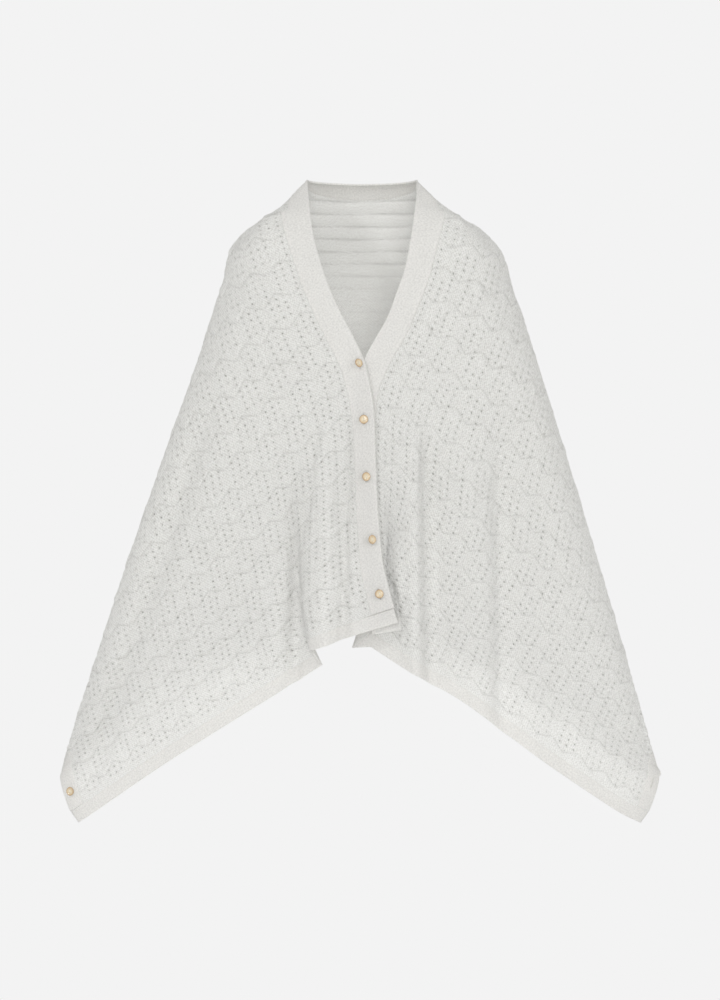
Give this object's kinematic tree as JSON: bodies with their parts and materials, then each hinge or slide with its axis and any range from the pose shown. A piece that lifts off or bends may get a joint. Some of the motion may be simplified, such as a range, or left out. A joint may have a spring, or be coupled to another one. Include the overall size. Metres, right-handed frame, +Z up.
{
  "type": "knitted lace poncho sweater",
  "caption": "Worn, hollow lace-knit wrap with a V neck, a buttoned front, plain bands on every edge and pointed sides that hang lower than the middle.",
  "frame": {"origin": "midway between the two neck points of the worn garment, at their height, on the fold plane of the shoulders", "axes": "+Z up, the front faces -Y, +X is the viewer's right and the wearer's left"},
  "size_m": [0.9017, 0.296, 0.9636],
  "materials": {
    "lace_knit": "matt off-white fine lace knit",
    "band_knit": "matt off-white double knit",
    "shell": "polished natural shell"
  },
  "bodies": {
    "root": {"back_panel": "lace_knit", "front_panel_right": "lace_knit", "front_panel_left": "lace_knit", "neck_band": "band_knit", "front_band_right": "band_knit", "front_band_left": "band_knit", "edge_band_back": "band_knit", "edge_band_right": "band_knit", "edge_band_left": "band_knit", "hem_band_right": "band_knit", "hem_band_left": "band_knit", "button_1": "shell", "button_2": "shell", "button_3": "shell", "button_4": "shell", "button_5": "shell", "corner_button": "shell"}
  },
  "joints": []
}
